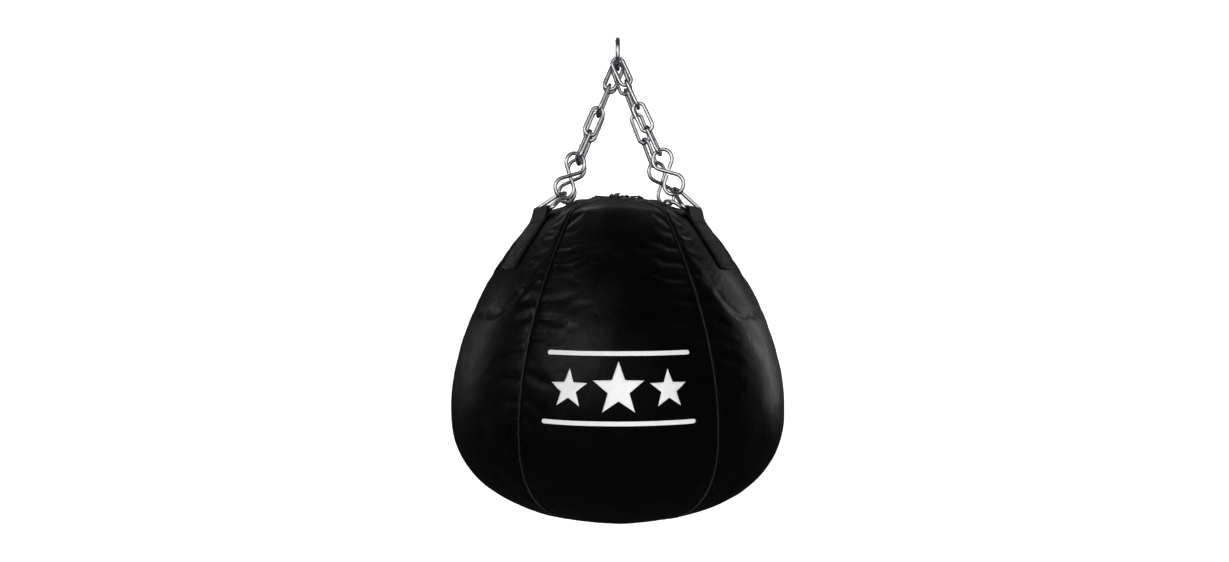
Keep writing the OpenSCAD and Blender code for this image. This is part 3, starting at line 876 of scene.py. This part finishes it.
for corner in CORNERS:
    strap = Strap(corner)
    build_webbing(corner, strap)
    build_strap_stitches(corner, strap)


# ---------- generic white print on the front
def star(cx, cy, outer, inner):
    """A five-pointed star's outline, with one point up."""
    tips = [(radius, math.radians(90 + 36 * k)) for k, radius in enumerate([outer, inner] * 5)]
    return [(cx + radius * math.cos(a), cy + radius * math.sin(a)) for radius, a in tips]


def rounded_bar(cy, wide, tall, radius):
    """The outline of a bar with round corners."""
    outline = []
    for qx, qy, a0 in ((1, 1, 0), (-1, 1, 90), (-1, -1, 180), (1, -1, 270)):
        for a in np.radians(np.linspace(a0, a0 + 90, 7)):
            outline.append((qx * (wide / 2 - radius) + radius * math.cos(a),
                            cy + qy * (tall / 2 - radius) + radius * math.sin(a)))
    return outline


def build_print():
    """Three stars between two bars, as a thin skin of ink that follows the leather."""
    bm = bmesh.new()
    for outline in (star(0, -1 * MM, 34 * MM, 14 * MM),
                    star(-63 * MM, -1.5 * MM, 25 * MM, 10.3 * MM),
                    star(63 * MM, -1.5 * MM, 25 * MM, 10.3 * MM),
                    rounded_bar(42 * MM, 194 * MM, 5.5 * MM, 2.7 * MM),
                    rounded_bar(-42 * MM, 194 * MM, 5.5 * MM, 2.7 * MM)):
        bm.faces.new([bm.verts.new((x, y, 0)) for x, y in outline])
    bmesh.ops.triangulate(bm, faces=bm.faces[:])
    for _ in range(7):
        long = [e for e in bm.edges if e.calc_length() > 3.2 * MM]
        if not long:
            break
        bmesh.ops.subdivide_edges(bm, edges=long, cuts=1)
        bmesh.ops.triangulate(bm, faces=[f for f in bm.faces if len(f.verts) > 3])
    radius = float(PROFILE[WIDEST, 0])
    for v in bm.verts:
        turn = math.radians(FRONT) + v.co.x / radius
        out = Vector((math.cos(turn), math.sin(turn), 0))
        hit, nrm = on_cover(out * 0.40 + Vector((0, 0, PRINT_Z + v.co.y)), -out, 0.4)
        v.co = Vector(hit + nrm * 0.28 * MM)
    bmesh.ops.recalc_face_normals(bm, faces=bm.faces)
    skin = bmesh.ops.extrude_face_region(bm, geom=bm.faces[:])
    for v in [g for g in skin["geom"] if isinstance(g, bmesh.types.BMVert)]:
        v.co += Vector((v.co.x, v.co.y, 0)).normalized() * 0.12 * MM
    bmesh.ops.recalc_face_normals(bm, faces=bm.faces)
    mesh = bpy.data.meshes.new("star_print")
    bm.to_mesh(mesh)
    bm.free()
    dress(smooth_piece("star_print", mesh), INK)


build_print()


# ---------- bottom patch
def build_patch():
    """The round leather patch under the panels' tips, with two rings of stitches."""
    low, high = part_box("bottom_patch")
    radius = (high[0] - low[0]) / 2
    rings, around = 22, 96
    radii = np.linspace(0, radius, rings + 1)
    # the patch keeps the bottom's gentle curve
    heights = low[2] + (high[2] - low[2] - 2 * MM) * (radii / radius) ** 2

    def waves(r, turn):
        return 0.25 * MM * np.sin(6 * turn + 0.5) * (r / radius) ** 2

    verts = []
    for upper in (False, True):
        for r, height in zip(radii, heights):
            edge = 0.8 * MM * max(0.0, (r / radius - 0.93) / 0.07) ** 2
            for turn in 2 * math.pi * np.arange(around) / around:
                z = height + 1.9 * MM - edge if upper else height + edge + waves(r, turn)
                verts.append((r * math.cos(turn), r * math.sin(turn), z))
    above = (rings + 1) * around
    faces = grid_faces(rings, around, wrap=True) + grid_faces(rings, around, wrap=True, start=above)
    faces += bridge(range(rings * around, above), range(above + rings * around, 2 * above))
    piece = new_mesh("bottom_leather_patch", verts, faces)
    face_outward(piece, weld=True)
    dress(piece, LEATHER, "bottom_patch")
    heap = Heap()
    turn = np.linspace(0, 2 * math.pi, 140)
    for inset in (4.5 * MM, 7.5 * MM):
        r = radius - inset
        z = np.interp(r, radii, heights) + waves(r, turn)
        ring = np.stack([r * np.cos(turn), r * np.sin(turn), z], 1)
        stitch_line(heap, ring, np.tile([0, 0, -1.0], (len(turn), 1)), pitch=3.8 * MM)
    dress(heap.mesh("bottom_patch_stitches"), THREAD)


build_patch()


# ---------- laced crown
def crown_point(turn, r):
    """The top of the cover at an angle in radians and a radius, or None where it is open."""
    return on_cover((r * math.cos(turn), r * math.sin(turn), -0.15), (0, 0, -1), 0.15)[0]


def build_eyelets():
    """Six eyelets round the opening; gives back each one's centre and the way that it faces."""
    eyelets = Heap()
    spots = []
    sides = 28
    for k in range(6):
        turn = math.radians(FRONT + 60 * k)
        low, high = crown_point(turn, 0.044), crown_point(turn, 0.037)
        slope = unit(high - low)
        side = np.array([-math.sin(turn), math.cos(turn), 0])
        face = np.cross(side, slope)
        if face[2] < 0:
            face = -face
        centre = 0.5 * (low + high) + face * 0.5 * MM
        spots.append((centre, face))
        verts = []
        for radius, height in EYELET_SHAPE:
            for t in 2 * math.pi * np.arange(sides) / sides:
                verts.append(centre + (side * math.cos(t) + slope * math.sin(t)) * radius * MM
                             + face * height * MM)
        eyelets.add(verts, grid_faces(len(EYELET_SHAPE) - 1, sides, wrap=True))
    piece = eyelets.mesh("crown_eyelets")
    face_outward(piece)
    dress(piece, EYELET, "closure_eyelets")
    return spots


def add_cord(heap, points, count):
    """A three-strand twisted cord along a smooth curve through the points."""
    points = np.array(points, float)
    t = np.linspace(0, len(points) - 1, count)
    k = np.clip(t.astype(int), 0, len(points) - 2)
    pad = padded(points)
    path = catmull(pad[k], pad[k + 1], pad[k + 2], pad[k + 3], (t - k)[:, None])
    tan = unit(np.gradient(path, axis=0))
    ref = unit(np.cross(tan, [0.3, 0.2, 0.93]))
    up = np.cross(tan, ref)
    run = run_along(path)
    for strand in range(3):
        turn = 2 * math.pi * (run / CORD_TWIST + strand / 3)
        line = path + 0.5 * CORD_RADIUS * (np.cos(turn)[:, None] * ref + np.sin(turn)[:, None] * up)
        heap.add(*tube(line, CORD_RADIUS * 0.62, sides=7))


def build_lace(spots):
    """The cord that crosses the opening in two triangles, tied off towards the front."""
    lace = Heap()
    top = sum(centre[2] for centre, _ in spots) / 6
    for loop in (0, 1):
        high = top + (0.6 + 2.0 * loop) * MM
        for k in range(3):
            ends = []
            for centre, face in (spots[(loop + 2 * k) % 6], spots[(loop + 2 * k + 2) % 6]):
                raised = centre + face * 1.0 * MM
                ends.append([centre - face * 5 * MM, raised,
                             np.array([raised[0] * 0.86, raised[1] * 0.86, high])])
            mid = 0.5 * (ends[0][2] + ends[1][2]) + np.array([0, 0, -1.2 * MM])
            add_cord(lace, ends[0] + [mid] + ends[1][::-1], 64)
    knot = np.array([0.002, -0.010, top + 2.6 * MM])
    add_cord(lace, [knot + np.array([4.2 * math.cos(t), 2.6 * math.sin(t), 0.9 * math.sin(2 * t)]) * MM
                    for t in np.linspace(0, 2 * math.pi * 1.6, 30)], 120)
    for sign, reach in ((-1, 30), (1, 26)):
        path = [knot, knot + np.array([sign * 5, -6, 1.0]) * MM]
        for q in (0.35, 0.6, 0.8, 1.0):
            x, y = knot[0] + sign * (5 + 9 * q) * MM, knot[1] - (6 + reach * q) * MM
            hit = crown_point(math.atan2(y, x), math.hypot(x, y))
            if hit is not None:
                path.append(np.array([x, y, hit[2] + 2.0 * MM]))
        add_cord(lace, path, 60)
    dress(lace.mesh("crown_lace"), CORD, "closure_lace")


build_lace(build_eyelets())


def build_tongue():
    """The leather flap under the laced opening: a shallow puckered dish."""
    low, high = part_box("closure_tongue")
    radius = (high[0] - low[0]) / 2
    rings, around = 24, 96
    verts = []
    for i in range(rings + 1):
        r = radius * i / rings
        for k in range(around):
            a = 2 * math.pi * k / around
            z = high[2] - (high[2] - low[2] - 1.2 * MM) * (r / radius) ** 1.5
            inside = 1 - float(smooth(0.02, 0.027, r))
            z += inside * (1.5 * MM * math.sin(9 * a + 1.0) * (r / radius) + 0.6 * MM)
            verts.append((r * math.cos(a), r * math.sin(a), z))
    faces = grid_faces(rings, around, wrap=True)
    piece = new_mesh("crown_tongue", verts, faces)
    face_outward(piece, weld=True)
    dress(piece, LEATHER, "closure_tongue")


build_tongue()

# ---------- CAD nodes that keep their shape
HIDDEN = {"canvas_liner": cloth_material("liner_canvas", (0.62, 0.57, 0.46)),
          "foam_layer": cloth_material("foam", (0.72, 0.68, 0.42), 500.0),
          "fibre_filling": cloth_material("fibre_filling", (0.4, 0.39, 0.37), 260.0)}
for name, obj in NODES.items():
    mat = HIDDEN.get(name)
    if mat is None and name.startswith(("top_ring", "upper_link", "second_link", "third_link", "fourth_link",
                                        "s_hook", "d_ring")):
        mat = STEEL
    if mat is not None:
        obj.data.materials.clear()
        obj.data.materials.append(mat)


# ---------- studio
def build_stage():
    """A white sweep behind and under the bag."""
    floor_z, back_y, front_y, bend = -0.98, 2.6, -4.0, 0.9
    line = [(front_y, floor_z), (back_y - bend, floor_z)]
    line += [(back_y - bend + bend * math.sin(a), floor_z + bend - bend * math.cos(a))
             for a in np.linspace(0.05, math.pi / 2, 20)]
    line += [(back_y, 4.0)]
    verts = [(x, y, z) for y, z in line for x in (-6.0, 6.0)]
    faces = [(2 * k, 2 * k + 1, 2 * k + 3, 2 * k + 2) for k in range(len(line) - 1)]
    sweep = new_mesh("studio_sweep", verts, faces)
    mat, tree, shader = material("studio_paper")
    space = texture_space(tree)
    tint = noise(tree, space, 3.0, 3.0)
    seen = node(tree, "LightPath").outputs["Is Camera Ray"]
    wire(shader, {"Base Color": ramp(tree, tint, [(0.3, (0.9,) * 3), (0.7, (0.93,) * 3)]), "Roughness": 0.9,
                  "Emission Color": (1, 1, 1, 1), "Emission Strength": remap(tree, seen, 0, 1, 0.3, 0.86)})
    # clear from behind, so that the bag can be seen from under the floor
    paper = node(tree, "MixShader")
    wire(paper, {0: node(tree, "NewGeometry").outputs["Backfacing"], 1: shader.outputs[0],
                 2: node(tree, "BsdfTransparent").outputs[0]})
    tree.links.new(paper.outputs[0], tree.nodes["Material Output"].inputs[0])
    sweep.data.materials.append(mat)
    sweep.visible_glossy = False


def area_light(name, place, target, size, energy):
    data = bpy.data.lights.new(name, "AREA")
    data.shape = "RECTANGLE"
    data.size, data.size_y = size
    data.energy = energy
    obj = bpy.data.objects.new(name, data)
    obj.location = place
    obj.rotation_euler = (Vector(target) - Vector(place)).to_track_quat("-Z", "Y").to_euler()
    bpy.context.scene.collection.objects.link(obj)
    return obj


build_stage()
area_light("key_left", (-1.35, -1.90, 0.70), (0, 0, -0.42), (1.7, 0.5), 5.6)
area_light("rim_right", (1.75, 1.0, -0.1), (0.1, 0, -0.42), (0.4, 1.4), 2.8)
area_light("rim_left", (-1.9, 0.9, -0.1), (-0.1, 0, -0.45), (0.3, 1.0), 1.1)
area_light("front_fill", (0.4, -2.8, 0.1), (0, 0, -0.45), (2.4, 0.9), 0.6)
area_light("top_soft", (0.0, 0.2, 1.5), (0, 0, -0.3), (1.6, 1.6), 0.3)
area_light("back_wall", (0.0, 1.2, 1.6), (0, 2.6, 0.0), (3.5, 1.0), 30)

# the steel has its own reflectors, so that it reads as polished wire beside the black leather
steel_parts = bpy.data.collections.new("steel_parts")
for name, obj in NODES.items():
    if obj.data.materials and obj.data.materials[0] == STEEL:
        steel_parts.objects.link(obj)
for name, place, size, energy in (("steel_front", (0.1, -1.9, 0.1), (3.4, 2.4), 38),
                                  ("steel_glint_left", (-1.1, -1.2, 0.5), (0.3, 1.2), 3.0),
                                  ("steel_back", (-0.2, 1.7, 0.3), (1.4, 0.9), 2.0)):
    reflector = area_light(name, place, (0, 0, -0.12), size, energy)
    reflector.light_linking.receiver_collection = steel_parts

# the ink is lit from the front, where its light would grey the black leather
printed = bpy.data.collections.new("printed")
printed.objects.link(bpy.data.objects["star_print"])
ink_light = area_light("ink_light", (0.3, -2.4, -0.1), (0, -0.25, -0.49), (1.2, 1.0), 38)
ink_light.light_linking.receiver_collection = printed


def build_world():
    """White where the camera sees it, nearly dark where it would light the bag."""
    world = bpy.data.worlds.new("studio_world")
    bpy.context.scene.world = world
    world.use_nodes = True
    tree = world.node_tree
    seen = node(tree, "LightPath").outputs["Is Camera Ray"]
    tint = node(tree, "Mix", data_type="RGBA")
    wire(tint, {0: seen, MIX_A: (0.014, 0.0145, 0.015, 1), MIX_B: (1, 1, 1, 1)})
    wire(tree.nodes["Background"], {"Color": tint.outputs[MIX_RESULT], "Strength": 1.0})


def build_camera():
    """A wide lens close in front of the bag."""
    data = bpy.data.cameras.new("camera")
    data.sensor_width = 36.0
    data.lens = 20.28
    data.clip_start = 0.02
    camera = bpy.data.objects.new("camera", data)
    camera.location = (-0.005, -1.1, -0.36)
    camera.rotation_euler = (math.radians(90), 0, 0)
    bpy.context.scene.collection.objects.link(camera)
    bpy.context.scene.camera = camera


build_world()
build_camera()
bpy.context.scene.view_settings.view_transform = "Standard"
bpy.context.scene.view_settings.look = "None"
